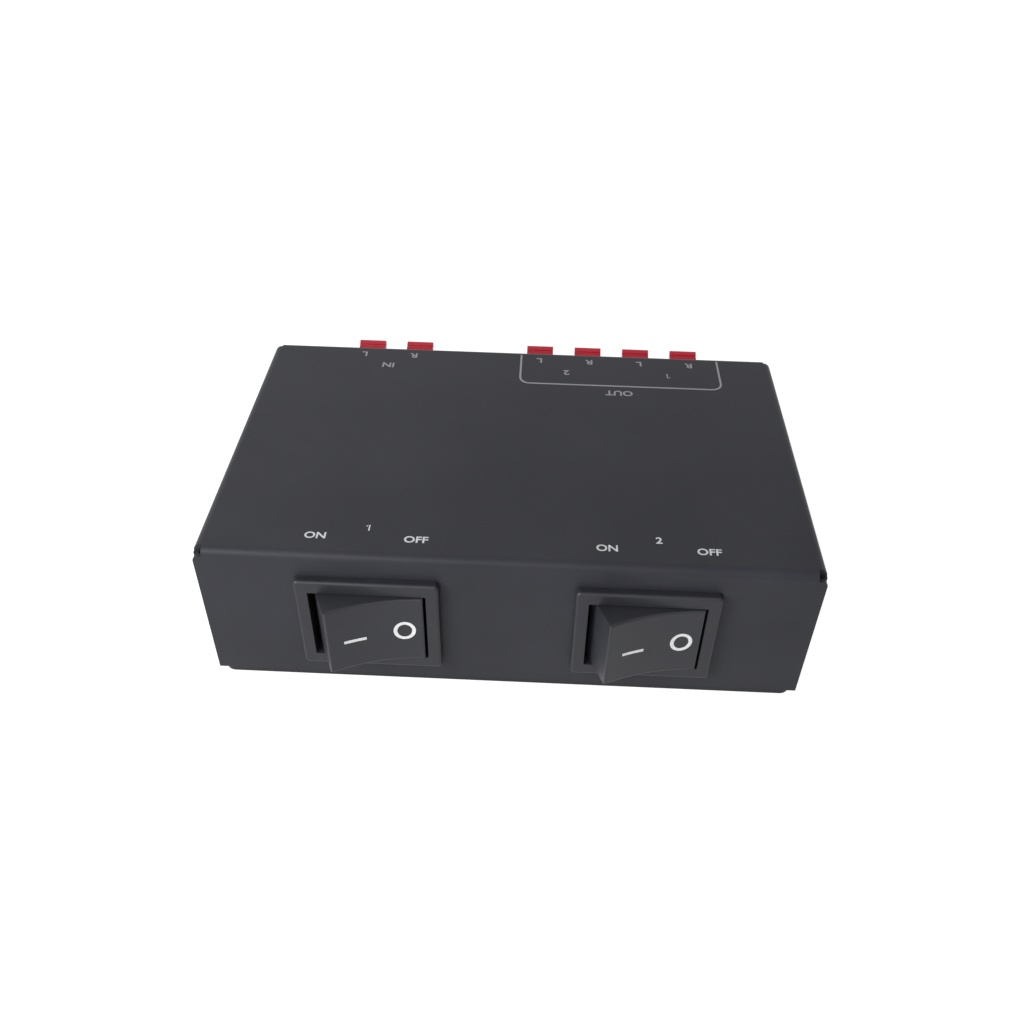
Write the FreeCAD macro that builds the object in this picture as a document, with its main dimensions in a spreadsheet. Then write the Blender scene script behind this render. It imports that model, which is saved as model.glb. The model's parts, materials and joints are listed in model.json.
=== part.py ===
# Speaker selector switch: a folded steel box with two rocker switches on the front
# and spring clip terminals on the back. Millimetres, Z up, front towards -Y.
# The origin is on the surface that the feet stand on, under the middle of the box.
import FreeCAD, Part
import Sketcher
import math
import os
import re

doc = FreeCAD.newDocument("speaker_selector")

# Driving dimensions: name, size, what it is.
SIZE_ROWS = [
    ("case_width", 133.0, "box, left to right"),
    ("case_depth", 83.0, "box, front to back"),
    ("cover_height", 36.8, "folded cover, rim to top"),
    ("sheet_metal", 1.2, "cover sheet"),
    ("plate_metal", 1.2, "bottom plate sheet"),
    ("bend_radius", 2.0, "outside of each fold"),
    ("seam_gap", 0.2, "seam between front and side flanges"),
    ("flange_corner", 1.2, "rounding of a flange's upper corner"),
    ("lip_width", 9.0, "inward lip that takes the bottom screws"),
    ("plate_inset", 1.0, "bottom plate set in from each side"),
    ("plate_corner", 2.5, "bottom plate corner radius"),
    ("foot_radius", 5.0, "rubber foot at the plate"),
    ("foot_tread", 4.5, "rubber foot at the surface"),
    ("foot_height", 2.0, "rubber foot height"),
    ("screw_edge", 6.0, "bottom screw in from the side of the box"),
    ("screw_setback", 8.5, "bottom screw in from the front or back"),
    ("foot_inset", 11.5, "foot in from its screw, sideways"),
    ("foot_setback", 2.0, "foot in from its screw, front to back"),
    ("thread_radius", 1.5, "tapped hole"),
    ("thread_play", 0.05, "screw set inside its tapped hole"),
    ("hole_play", 0.15, "screw clearance hole over the thread"),
    ("head_radius", 2.75, "screw head"),
    ("head_height", 1.6, "screw head height"),
    ("bottom_screw_length", 6.0, "bottom screw under the head"),
    ("switch_spacing", 60.0, "switch centre to switch centre"),
    ("bezel_width", 31.0, "switch bezel"),
    ("bezel_height", 25.5, "switch bezel"),
    ("bezel_proud", 2.0, "bezel in front of the panel"),
    ("bezel_corner", 1.0, "bezel corner radius"),
    ("bezel_edge", 0.7, "bezel front edge radius"),
    ("well_width", 25.2, "opening for the rocker"),
    ("well_height", 19.1, "opening for the rocker"),
    ("body_width", 27.3, "switch body behind the panel"),
    ("body_height", 21.8, "switch body behind the panel"),
    ("body_depth", 16.0, "switch body behind the panel"),
    ("body_floor", 2.0, "floor of the switch body"),
    ("cutout_play", 0.35, "panel cutout round a body, each side"),
    ("latch_reach", 0.9, "snap latch beyond the body"),
    ("latch_length", 5.0, "snap latch ramp"),
    ("latch_width", 8.0, "snap latch along its wall"),
    ("latch_play", 0.05, "snap latch behind the sheet"),
    ("pivot_depth", 2.2, "rocker axis behind the panel face"),
    ("pivot_radius", 1.5, "rocker pivot boss"),
    ("pivot_play", 0.06, "boss in its hole"),
    ("pivot_length", 1.0, "boss beyond the rocker"),
    ("rocker_tilt", 15.0, "rocker to each side of the middle, degrees"),
    ("rocker_reach", 10.5, "pivot to the end of the pressing face"),
    ("rocker_rise", 7.6, "pivot to the height of the face ends"),
    ("rocker_dish", 1.2, "hollow of the pressing face"),
    ("rocker_skirt", 11.9, "pivot to the skirt's end"),
    ("rocker_drop", 2.0, "skirt below the pivot"),
    ("rocker_height", 18.7, "rocker, top to bottom"),
    ("rocker_wall", 1.4, "rocker wall"),
    ("rocker_edge", 0.5, "rocker edge rounding"),
    ("pole_offset", 4.6, "each pole above or below the middle"),
    ("stem_radius", 2.4, "plunger guide under the rocker"),
    ("stem_drop", 4.4, "plunger guide below the pivot"),
    ("stem_bore", 1.75, "bore of the plunger guide"),
    ("plunger_head", 1.65, "plunger head in its guide"),
    ("plunger_shank", 1.2, "plunger below its head"),
    ("plunger_top", 0.5, "plunger head below the pivot"),
    ("plunger_step", 2.0, "plunger head length"),
    ("plunger_tip", 8.6, "plunger tip below the pivot"),
    ("spring_radius", 1.3, "plunger spring, middle of the coil"),
    ("spring_strand", 0.35, "plunger spring strand"),
    ("spring_turns", 4.0, "plunger spring turns"),
    ("arm_tilt", 7.5, "contact arm bend to each side, degrees"),
    ("arm_gap", 0.12, "plunger tip above the arm"),
    ("arm_metal", 0.5, "contact arm sheet"),
    ("arm_width", 3.0, "contact arm strip"),
    ("arm_reach", 9.8, "contact arm on the contact side"),
    ("arm_tail", 6.0, "contact arm on the other side"),
    ("contact_reach", 8.4, "pivot to the contact"),
    ("contact_radius", 1.2, "contact button"),
    ("contact_height", 0.6, "contact button height"),
    ("contact_gap", 0.05, "closed contact"),
    ("blade_metal", 0.8, "switch terminal blade"),
    ("blade_width", 6.3, "switch terminal blade"),
    ("blade_tail", 10.0, "switch terminal behind the body"),
    ("blade_play", 0.05, "blade in its slot"),
    ("fork_depth", 1.0, "notch that holds a contact arm"),
    ("fork_play", 0.2, "contact arm in its notch"),
    ("clip_pitch", 13.2, "terminal column to column"),
    ("input_middle", -35.2, "input block, from the middle of the box"),
    ("output_middle", 24.7, "output block, from the middle of the box"),
    ("block_plate", 2.2, "terminal block face plate"),
    ("block_height", 32.0, "terminal block face plate"),
    ("block_margin", 14.6, "outer column to the end of the face plate"),
    ("block_corner", 2.0, "face plate corner radius"),
    ("block_edge", 0.5, "face plate edge radius"),
    ("ear_offset", 10.6, "outer column to the fixing screw"),
    ("shell_height", 30.0, "terminal block behind the panel"),
    ("shell_wall", 1.5, "outer wall of the block's shell"),
    ("shell_depth", 13.0, "terminal block behind the panel face"),
    ("cell_width", 7.8, "chamber of one terminal"),
    ("cell_high", 14.0, "chamber end, from the block's middle"),
    ("cell_low", 1.6, "chamber start, from the block's middle"),
    ("window_low", 8.2, "lever window start, from the block's middle"),
    ("entry_width", 4.8, "square wire entry"),
    ("entry_offset", 4.6, "wire entry, from the block's middle"),
    ("entry_mouth", 0.5, "lead-in round a wire entry"),
    ("lever_pivot_depth", 2.0, "lever axis behind the panel face"),
    ("lever_offset", 10.5, "lever axis, from the block's middle"),
    ("lever_width", 7.2, "lever"),
    ("lever_hub", 1.9, "lever hub radius"),
    ("lever_reach", 11.0, "lever axis to the end of the tab"),
    ("lever_rise", 5.1, "tab end above the lever axis"),
    ("lever_elbow", 5.2, "lever axis to the bend of the tab"),
    ("lever_thick", 1.9, "tab thickness"),
    ("lever_heel", 5.0, "lever axis to the heel, both ways"),
    ("trunnion_radius", 0.9, "lever pivot pin"),
    ("trunnion_length", 0.9, "lever pivot pin beyond the lever"),
    ("trunnion_play", 0.06, "lever pivot pin in its hole"),
    ("groove_radius", 0.35, "thumb groove"),
    ("groove_pitch", 1.5, "thumb groove to thumb groove"),
    ("clamp_metal", 0.4, "clamp spring strip"),
    ("clamp_width", 5.0, "clamp spring strip"),
    ("clamp_gap", 0.12, "lever heel to the clamp spring"),
    ("clamp_low", 2.4, "clamp spring tip, from the block's middle"),
    ("tag_offset", 12.4, "solder tag, from the block's middle"),
    ("tag_metal", 0.8, "solder tag sheet"),
    ("tag_tail", 6.5, "solder tag behind the block"),
    ("nut_flat", 5.5, "nut across its flats"),
    ("nut_height", 2.4, "nut height"),
    ("block_screw_length", 8.0, "block screw under the head"),
    ("wire_radius", 1.1, "insulated wire"),
    ("wire_pair", 1.4, "each of two wires from the middle of a blade"),
    ("wire_lead", 7.0, "straight wire out of a blade"),
]
SIZES = {word: size for word, size, note in SIZE_ROWS}

sheet = doc.addObject("Spreadsheet::Sheet", "sizes")
for row, (word, size, note) in enumerate(SIZE_ROWS, start=1):
    sheet.set(f"A{row}", word)
    sheet.set(f"B{row}", str(size))
    sheet.set(f"C{row}", note)
    sheet.setAlias(f"B{row}", word)
doc.recompute()

# Heights that many pieces share, as formulas of the sheet.
RIM = "(foot_height + plate_metal)"
TOP = f"({RIM} + cover_height)"
MIDDLE = "(foot_height + (plate_metal + cover_height) / 2)"
FRONT = "(-case_depth / 2)"
BACK = "(case_depth / 2)"
ARM_PIVOT = "(pivot_depth + plunger_tip + arm_gap + arm_metal)"
SWITCHES = {"1": "(-switch_spacing / 2)", "2": "(switch_spacing / 2)"}
COLUMNS = {
    "input_left": "(input_middle - clip_pitch / 2)",
    "input_right": "(input_middle + clip_pitch / 2)",
    "two_left": "(output_middle - clip_pitch * 1.5)",
    "two_right": "(output_middle - clip_pitch / 2)",
    "one_left": "(output_middle + clip_pitch / 2)",
    "one_right": "(output_middle + clip_pitch * 1.5)",
}
BLOCKS = {"input_block": ("input_middle", 2), "output_block": ("output_middle", 4)}
ROWS = {"red": 1, "black": -1}


def size(word):
    """The number in one cell of the sheet."""
    return float(sheet.get(word))


def bind(thing, field, formula):
    """Tie one property to a formula of the sheet's names."""
    text = re.sub(r"[a-z_]{4,}", lambda word: "sizes." + word.group() if word.group() in SIZES
                  else word.group(), str(formula))
    thing.setExpression(field, text)


def place(thing, spot, axis=(0, 0, 1), turn="0"):
    """Stand a piece at a spot, turned about an axis by a number of degrees."""
    thing.Placement = FreeCAD.Placement(FreeCAD.Vector(), FreeCAD.Rotation(FreeCAD.Vector(*axis), 1.0))
    for letter, formula in zip("xyz", spot):
        bind(thing, "Placement.Base." + letter, formula)
    bind(thing, "Placement.Rotation.Angle", turn)
    return thing


# Building with sketches


def new_body(name):
    body = doc.addObject("PartDesign::Body", name)
    body.Label = name
    return body


def new_sketch(body, role, level="0"):
    """An empty sketch on one of the body's planes, lifted along that plane's normal."""
    sketch = body.newObject("Sketcher::SketchObject", "outline")
    plane = [each for each in body.Origin.OriginFeatures if each.Role == role][0]
    sketch.AttachmentSupport = [(plane, "")]
    sketch.MapMode = "FlatFace"
    bind(sketch, "AttachmentOffset.Base.z", level)
    return sketch


def pin_point(sketch, curve, end, spot, guess):
    """Fix one point of a curve at a place given by two formulas."""
    for kind, formula, near in zip(("DistanceX", "DistanceY"), spot, guess):
        fixed = sketch.addConstraint(Sketcher.Constraint(kind, -1, 1, curve, end, near))
        bind(sketch, f"Constraints[{fixed}]", formula)


def add_polygon(sketch, corners):
    first = sketch.GeometryCount
    count = len(corners)
    ring = [FreeCAD.Vector(math.cos(2 * math.pi * i / count), math.sin(2 * math.pi * i / count), 0) * 10
            for i in range(count)]
    for i in range(count):
        sketch.addGeometry(Part.LineSegment(ring[i], ring[(i + 1) % count]), False)
    for i in range(count):
        following = first + (i + 1) % count
        sketch.addConstraint(Sketcher.Constraint("Coincident", first + i, 2, following, 1))
        pin_point(sketch, first + i, 1, corners[i], ring[i])


def add_rectangle(sketch, middle, across, up):
    """A rectangle given by its middle and its two sides."""
    left, right = (f"{middle[0]} {sign} ({across}) / 2" for sign in "-+")
    low, high = (f"{middle[1]} {sign} ({up}) / 2" for sign in "-+")
    add_polygon(sketch, [(left, low), (right, low), (right, high), (left, high)])


def add_circle(sketch, middle, radius):
    curve = sketch.addGeometry(Part.Circle(FreeCAD.Vector(1, 1, 0), FreeCAD.Vector(0, 0, 1), 1), False)
    pin_point(sketch, curve, 3, middle, (1, 1))
    fixed = sketch.addConstraint(Sketcher.Constraint("Radius", curve, 1.0))
    bind(sketch, f"Constraints[{fixed}]", radius)


def feature(body, kind, sketch, length, flip=False, both=False):
    made = body.newObject("PartDesign::" + kind, kind.lower())
    made.Profile = sketch
    bind(made, "Length", length)
    made.Reversed = flip
    made.Midplane = both
    doc.recompute()
    return made


def pad(body, sketch, length, **how):
    return feature(body, "Pad", sketch, length, **how)


def pocket(body, sketch, length, **how):
    return feature(body, "Pocket", sketch, length, **how)


def round_edges(body, radius, chosen):
    """Round those edges of the body that the test picks from their middle and direction."""
    shape = body.Tip.Shape
    names = []
    for number, edge in enumerate(shape.Edges, start=1):
        if len(edge.Vertexes) == 2:
            run = edge.Vertexes[1].Point - edge.Vertexes[0].Point
            axis = [letter for letter in "xyz" if abs(getattr(run, letter)) > 0.999 * run.Length]
            if chosen(edge.CenterOfMass, axis[0] if axis else ""):
                names.append(f"Edge{number}")
    made = body.newObject("PartDesign::Fillet", "fillet")
    made.Base = (body.Tip if body.Tip != made else made.BaseFeature, names)
    bind(made, "Radius", radius)
    doc.recompute()
    return made


def near(a, b):
    return abs(a - b) < 0.01


# Building with primitives


def box_between(name, low, high):
    """A rectangular block between two corners."""
    made = doc.addObject("Part::Box", name)
    for side, letter, start, end in zip(("Length", "Width", "Height"), "xyz", low, high):
        bind(made, side, f"({end}) - ({start})")
        bind(made, "Placement.Base." + letter, start)
    return made


def rod(name, start, axis, radius, length):
    """A round bar from a spot along +X, +Y or +Z."""
    turns = {"x": ((0, 1, 0), "90"), "y": ((1, 0, 0), "-90"), "z": ((0, 0, 1), "0")}
    made = doc.addObject("Part::Cylinder", name)
    bind(made, "Radius", radius)
    bind(made, "Height", length)
    return place(made, start, *turns[axis])


def joined(name, pieces):
    made = doc.addObject("Part::MultiFuse", name)
    made.Shapes = pieces
    made.Refine = True
    made.Label = name
    return made


def trimmed(name, base, tool):
    made = doc.addObject("Part::Cut", name)
    made.Base = base
    made.Tool = tool
    return made


def grouped(name, pieces):
    """Equal pieces that share a node and stay separate solids."""
    made = doc.addObject("Part::Compound", name)
    made.Links = pieces
    made.Label = name
    return made


# Box


def make_cover():
    """Top and four flanges folded from one sheet, with a notch at each upper corner."""
    body = new_body("top_cover")
    width, depth = size("case_width"), size("case_depth")
    metal, bend = size("sheet_metal"), size("bend_radius")
    rim = size("foot_height") + size("plate_metal")
    top = rim + size("cover_height")

    sketch = new_sketch(body, "XY_Plane", RIM)
    add_rectangle(sketch, ("0", "0"), "case_width", "case_depth")
    pad(body, sketch, "cover_height")
    round_edges(body, "bend_radius", lambda spot, axis: near(spot.z, top))
    sketch = new_sketch(body, "XY_Plane", RIM)
    add_rectangle(sketch, ("0", "0"), "case_width - 2 * sheet_metal", "case_depth - 2 * sheet_metal")
    pocket(body, sketch, "cover_height - sheet_metal", flip=True)
    round_edges(body, "bend_radius - sheet_metal", lambda spot, axis: near(spot.z, top - metal) and axis)

    sketch = new_sketch(body, "XY_Plane", RIM)
    for side in "-+":
        add_rectangle(sketch, (f"{side}(case_width - lip_width) / 2", "0"), "lip_width",
                      "case_depth - 2 * sheet_metal - seam_gap")
    pad(body, sketch, "sheet_metal")
    sketch = new_sketch(body, "YZ_Plane")
    for side in "-+":
        add_rectangle(sketch, (f"{side}(case_depth / 2 - sheet_metal - seam_gap / 2)",
                               f"({RIM} + (cover_height - bend_radius) / 2)"),
                      "seam_gap", "cover_height - bend_radius")
    pocket(body, sketch, "case_width * 2", both=True)
    sketch = new_sketch(body, "XY_Plane", TOP)
    for across in "-+":
        for along in "-+":
            add_rectangle(sketch, (f"{across}(case_width - bend_radius) / 2",
                                   f"{along}(case_depth - bend_radius) / 2"), "bend_radius", "bend_radius")
    pocket(body, sketch, "bend_radius")
    round_edges(body, "flange_corner", lambda spot, axis: axis == "y" and near(abs(spot.x), width / 2)
                and near(spot.z, top - bend) and abs(spot.y) > depth / 2 - metal)
    round_edges(body, "bend_radius", lambda spot, axis: axis == "y" and near(abs(spot.x), width / 2)
                and near(spot.z, rim) and abs(spot.y) < metal)
    round_edges(body, "bend_radius - sheet_metal", lambda spot, axis: axis == "y"
                and near(abs(spot.x), width / 2 - metal) and near(spot.z, rim + metal))

    sketch = new_sketch(body, "XZ_Plane", "case_depth / 2")
    for middle in SWITCHES.values():
        add_rectangle(sketch, (middle, MIDDLE), "body_width + 2 * cutout_play", "body_height + 2 * cutout_play")
    pocket(body, sketch, "sheet_metal + 1")
    sketch = new_sketch(body, "XZ_Plane", "-case_depth / 2")
    for middle, count in BLOCKS.values():
        add_rectangle(sketch, (middle, MIDDLE), f"{shell_width(count)} + 2 * cutout_play",
                      "shell_height + 2 * cutout_play")
        for side in "-+":
            add_circle(sketch, (f"{middle} {side} {ear_reach(count)}", MIDDLE), "thread_radius + hole_play")
    pocket(body, sketch, "sheet_metal + 1", flip=True)
    sketch = new_sketch(body, "XY_Plane", RIM)
    for spot in screw_spots():
        add_circle(sketch, spot, "thread_radius")
    pocket(body, sketch, "sheet_metal", flip=True)
    return body


def screw_spots(inset="0", setback="0"):
    """The bottom screws' places, or places moved in from them."""
    reach, along = f"(case_width / 2 - screw_edge - {inset})", f"(case_depth / 2 - screw_setback - {setback})"
    return [(right + reach, back + along) for right in "-+" for back in "-+"]


def make_bottom_plate():
    body = new_body("bottom_plate")
    sketch = new_sketch(body, "XY_Plane", "foot_height")
    add_rectangle(sketch, ("0", "0"), "case_width - 2 * plate_inset", "case_depth")
    pad(body, sketch, "plate_metal")
    round_edges(body, "plate_corner", lambda spot, axis: axis == "z")
    sketch = new_sketch(body, "XY_Plane", "foot_height")
    for spot in screw_spots():
        add_circle(sketch, spot, "thread_radius + hole_play")
    pocket(body, sketch, "plate_metal", flip=True)
    return body


def make_feet():
    feet = []
    for across, along in screw_spots("foot_inset", "foot_setback"):
        foot = doc.addObject("Part::Cone", "foot")
        bind(foot, "Radius1", "foot_tread")
        bind(foot, "Radius2", "foot_radius")
        bind(foot, "Height", "foot_height")
        feet.append(place(foot, (across, along, "0")))
    return grouped("rubber_feet", feet)


def make_bottom_screws():
    """Pan head screws driven up through the plate into the cover's lips."""
    screws = []
    for across, along in screw_spots():
        head = rod("head", (across, along, "foot_height - head_height"), "z", "head_radius", "head_height")
        shank = rod("shank", (across, along, "foot_height"), "z", "thread_radius - thread_play",
                    "bottom_screw_length")
        screws.append(joined("screw", [head, shank]))
    return grouped("bottom_screws", screws)


# Switches


def switch_spot(switch, depth="0"):
    """A place on the switch's middle line, given by its depth behind the panel face."""
    return (SWITCHES[switch], f"{FRONT} + {depth}", MIDDLE)


def make_housing(switch):
    """Moulded body that snaps into the panel, with a bezel in front and slots for the blades."""
    body = new_body(f"switch_housing_{switch}")
    sketch = new_sketch(body, "XZ_Plane")
    add_rectangle(sketch, ("0", "0"), "bezel_width", "bezel_height")
    pad(body, sketch, "bezel_proud")
    round_edges(body, "bezel_corner", lambda spot, axis: axis == "y")
    round_edges(body, "bezel_edge", lambda spot, axis: near(spot.y, -size("bezel_proud")))
    sketch = new_sketch(body, "XZ_Plane")
    add_rectangle(sketch, ("0", "0"), "body_width", "body_height")
    pad(body, sketch, "body_depth", flip=True)
    sketch = new_sketch(body, "XZ_Plane", "bezel_proud")
    add_rectangle(sketch, ("0", "0"), "well_width", "well_height")
    pocket(body, sketch, "bezel_proud + body_depth - body_floor")
    sketch = new_sketch(body, "XY_Plane")
    add_circle(sketch, ("0", "pivot_depth"), "pivot_radius + pivot_play")
    pocket(body, sketch, "body_height * 2", both=True)
    sketch = new_sketch(body, "XZ_Plane", "body_floor - body_depth")
    for reach in ("0", "contact_reach"):
        for side in "-+":
            add_rectangle(sketch, (reach, f"{side}pole_offset"), "blade_metal + 2 * blade_play",
                          "blade_width + 2 * blade_play")
    pocket(body, sketch, "body_floor + 1")
    for side in "-+":
        sketch = new_sketch(body, "XY_Plane")
        start = "sheet_metal + latch_play"
        add_polygon(sketch, [(f"{side}body_width / 2", start),
                             (f"{side}(body_width / 2 + latch_reach)", start),
                             (f"{side}body_width / 2", f"{start} + latch_length")])
        pad(body, sketch, "latch_width", both=True)
    return place(body, switch_spot(switch))


def make_rocker(switch):
    """Hollow paddle with a dished face, pivot bosses and a guide for each plunger."""
    body = new_body(f"rocker_{switch}")
    sketch = new_sketch(body, "XY_Plane")
    add_polygon(sketch, [("-rocker_reach", "-rocker_rise"), ("rocker_reach", "-rocker_rise"),
                         ("rocker_skirt", "rocker_drop"), ("-rocker_skirt", "rocker_drop")])
    pad(body, sketch, "rocker_height", both=True)
    dish_radius = "(rocker_reach * rocker_reach + rocker_dish * rocker_dish) / (2 * rocker_dish)"
    sketch = new_sketch(body, "XY_Plane")
    add_circle(sketch, ("0", f"-(rocker_rise - rocker_dish + {dish_radius})"), dish_radius)
    pocket(body, sketch, "rocker_height * 2", both=True)
    reach, rise, half = size("rocker_reach"), size("rocker_rise"), size("rocker_height") / 2
    round_edges(body, "rocker_edge", lambda spot, axis: spot.y < size("rocker_dish") - rise + 0.01
                and (near(abs(spot.x), reach) or near(abs(spot.z), half)))

    ceiling = "(rocker_rise - rocker_dish - rocker_wall)"
    sketch = new_sketch(body, "XY_Plane")
    add_polygon(sketch, [("-(rocker_reach - rocker_wall)", f"-{ceiling}"),
                         ("rocker_reach - rocker_wall", f"-{ceiling}"),
                         ("rocker_skirt - rocker_wall", "rocker_drop"),
                         ("-(rocker_skirt - rocker_wall)", "rocker_drop")])
    pocket(body, sketch, "rocker_height - 2 * rocker_wall", both=True)
    sketch = new_sketch(body, "XY_Plane", "rocker_height / 2")
    add_circle(sketch, ("0", "0"), "pivot_radius")
    pad(body, sketch, "pivot_length")
    sketch = new_sketch(body, "XY_Plane", "-rocker_height / 2")
    add_circle(sketch, ("0", "0"), "pivot_radius")
    pad(body, sketch, "pivot_length", flip=True)
    for side in "-+":
        sketch = new_sketch(body, "XZ_Plane", "-stem_drop")
        add_circle(sketch, ("0", f"{side}pole_offset"), "stem_radius")
        pad(body, sketch, f"stem_drop + {ceiling}")
    for side in "-+":
        sketch = new_sketch(body, "XZ_Plane", "-stem_drop")
        add_circle(sketch, ("0", f"{side}pole_offset"), "stem_bore")
        pocket(body, sketch, f"stem_drop + {ceiling}", flip=True)
    return place(body, switch_spot(switch, "pivot_depth"), turn="rocker_tilt")


def make_plungers(switch):
    """Two sprung pins, round at the tip, that slide over the contact arms."""
    plungers = []
    for side in "-+":
        level = f"{side}pole_offset"
        head = rod("head", ("0", "plunger_top", level), "y", "plunger_head", "plunger_step")
        shank = rod("shank", ("0", "plunger_top", level), "y", "plunger_shank",
                    "plunger_tip - plunger_shank - plunger_top")
        tip = doc.addObject("Part::Sphere", "tip")
        bind(tip, "Radius", "plunger_shank")
        place(tip, ("0", "plunger_tip - plunger_shank", level))
        plungers.append(joined("plunger", [head, shank, tip]))
    return place(grouped(f"plungers_{switch}", plungers), switch_spot(switch, "pivot_depth"), turn="rocker_tilt")


def make_plunger_springs(switch):
    """Small coils between the rocker's ceiling and the plunger heads."""
    ceiling = size("rocker_rise") - size("rocker_dish") - size("rocker_wall")
    strand = size("spring_strand")
    height = ceiling + size("plunger_top") - strand
    radius = size("spring_radius")
    coils = []
    for side in (-1, 1):
        path = Part.makeHelix(height / size("spring_turns"), height, radius)
        half = strand / 2
        corners = [FreeCAD.Vector(radius + x * half, 0, z * half) for x, z in ((-1, -1), (1, -1), (1, 1), (-1, 1))]
        section = Part.makePolygon(corners + corners[:1])
        coil = Part.Wire(path).makePipeShell([section], True, True)
        coil.rotate(FreeCAD.Vector(), FreeCAD.Vector(1, 0, 0), -90)
        coil.translate(FreeCAD.Vector(0, -ceiling + half, side * size("pole_offset")))
        coils.append(coil)
    made = doc.addObject("Part::Feature", f"plunger_springs_{switch}")
    made.Label = made.Name
    made.Shape = Part.makeCompound(coils)
    return place(made, switch_spot(switch, "pivot_depth"), turn="rocker_tilt")


def make_contact_arms(switch):
    """Two bent strips that rock on the middle blades, each with a contact button."""
    arms = []
    slope = "tan(arm_tilt)"
    rise = "arm_metal / cos(arm_tilt)"
    for side in "-+":
        body = new_body(f"arm_{switch}")
        sketch = new_sketch(body, "XY_Plane", f"{side}pole_offset")
        add_polygon(sketch, [("0", "0"), ("arm_reach", f"-arm_reach * {slope}"),
                             ("arm_reach", f"-arm_reach * {slope} - {rise}"), ("0", f"-{rise}"),
                             ("-arm_tail", f"-arm_tail * {slope} - {rise}"), ("-arm_tail", f"-arm_tail * {slope}")])
        pad(body, sketch, "arm_width", both=True)
        button = rod("button", ("contact_reach", "-arm_metal / 2", f"{side}pole_offset"), "y",
                     "contact_radius", "arm_metal / 2 + contact_height")
        turned = grouped("button_turned", [button])
        place(turned, ("0", "0", "0"), turn="-arm_tilt")
        arms.append(joined("arm", [body, turned]))
    return place(grouped(f"contact_arms_{switch}", arms), switch_spot(switch, ARM_PIVOT), turn="-arm_tilt")


def make_terminals(switch):
    """Middle blades forked round the arms, and throw blades with a contact on top."""
    middle = SWITCHES[switch]
    end = f"{FRONT} + body_depth + blade_tail"
    pivot = f"{FRONT} + {ARM_PIVOT}"
    blades = []
    for side in "-+":
        level = f"({MIDDLE} {side} pole_offset)"
        blade = box_between("blade", (f"{middle} - blade_metal / 2", f"{pivot} - fork_depth",
                                      f"{level} - blade_width / 2"),
                            (f"{middle} + blade_metal / 2", end, f"{level} + blade_width / 2"))
        notch = box_between("notch", (f"{middle} - blade_metal", f"{pivot} - 2 * fork_depth",
                                      f"{level} - arm_width / 2 - fork_play"),
                            (f"{middle} + blade_metal", pivot, f"{level} + arm_width / 2 + fork_play"))
        blades.append(trimmed("forked_blade", blade, notch))
        throw = f"({middle} + contact_reach)"
        seat = f"({pivot} + contact_height + contact_gap)"
        blade = box_between("blade", (f"{throw} - blade_metal / 2", f"{seat} + contact_height",
                                      f"{level} - blade_width / 2"),
                            (f"{throw} + blade_metal / 2", end, f"{level} + blade_width / 2"))
        contact = rod("contact", (throw, seat, level), "y", "contact_radius", "contact_height")
        blades.append(joined("throw_blade", [blade, contact]))
    return grouped(f"switch_terminals_{switch}", blades)


# Spring clip terminals


def shell_width(count):
    return f"({count - 1} * clip_pitch + cell_width + 2 * shell_wall)"


def ear_reach(count):
    return f"({(count - 1) / 2} * clip_pitch + ear_offset)"


def column_places(count):
    return [f"({step - (count - 1) / 2} * clip_pitch)" for step in range(count)]


def make_block(name):
    """Moulded block: a face plate with two screw ears and a chamber behind each terminal."""
    middle, count = BLOCKS[name]
    body = new_body(name)
    sketch = new_sketch(body, "XZ_Plane")
    add_rectangle(sketch, ("0", "0"), f"{count - 1} * clip_pitch + 2 * block_margin", "block_height")
    pad(body, sketch, "block_plate", flip=True)
    round_edges(body, "block_corner", lambda spot, axis: axis == "y")
    round_edges(body, "block_edge", lambda spot, axis: near(spot.y, size("block_plate")))
    sketch = new_sketch(body, "XZ_Plane")
    add_rectangle(sketch, ("0", "0"), shell_width(count), "shell_height")
    pad(body, sketch, "shell_depth")

    sketch = new_sketch(body, "XZ_Plane")
    for column in column_places(count):
        for sign in ROWS.values():
            add_rectangle(sketch, (column, f"{sign} * (cell_high + cell_low) / 2"), "cell_width",
                          "cell_high - cell_low")
    pocket(body, sketch, "shell_depth - shell_wall", flip=True)
    sketch = new_sketch(body, "XZ_Plane")
    for column in column_places(count):
        for sign in ROWS.values():
            add_rectangle(sketch, (column, f"{sign} * (cell_high + window_low) / 2"), "cell_width",
                          "cell_high - window_low")
            add_rectangle(sketch, (column, f"{sign} * entry_offset"), "entry_width", "entry_width")
    for side in "-+":
        add_circle(sketch, (f"{side}{ear_reach(count)}", "0"), "thread_radius + hole_play")
    pocket(body, sketch, "block_plate + 1")
    sketch = new_sketch(body, "XZ_Plane", "-block_plate")
    for column in column_places(count):
        for sign in ROWS.values():
            add_rectangle(sketch, (column, f"{sign} * entry_offset"), "entry_width + 2 * entry_mouth",
                          "entry_width + 2 * entry_mouth")
    pocket(body, sketch, "entry_mouth", flip=True)
    sketch = new_sketch(body, "XZ_Plane", "shell_depth - shell_wall")
    for column in column_places(count):
        for sign in ROWS.values():
            add_rectangle(sketch, (column, f"{sign} * tag_offset"), "clamp_width + 2 * blade_play",
                          "tag_metal + 2 * blade_play")
    pocket(body, sketch, "shell_wall + 1", flip=True)
    sketch = new_sketch(body, "YZ_Plane")
    for sign in ROWS.values():
        add_circle(sketch, ("-lever_pivot_depth", f"{sign} * lever_offset"), "trunnion_radius + trunnion_play")
    pocket(body, sketch, f"{shell_width(count)} - shell_wall", both=True)
    return place(body, (middle, BACK, MIDDLE))


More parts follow.
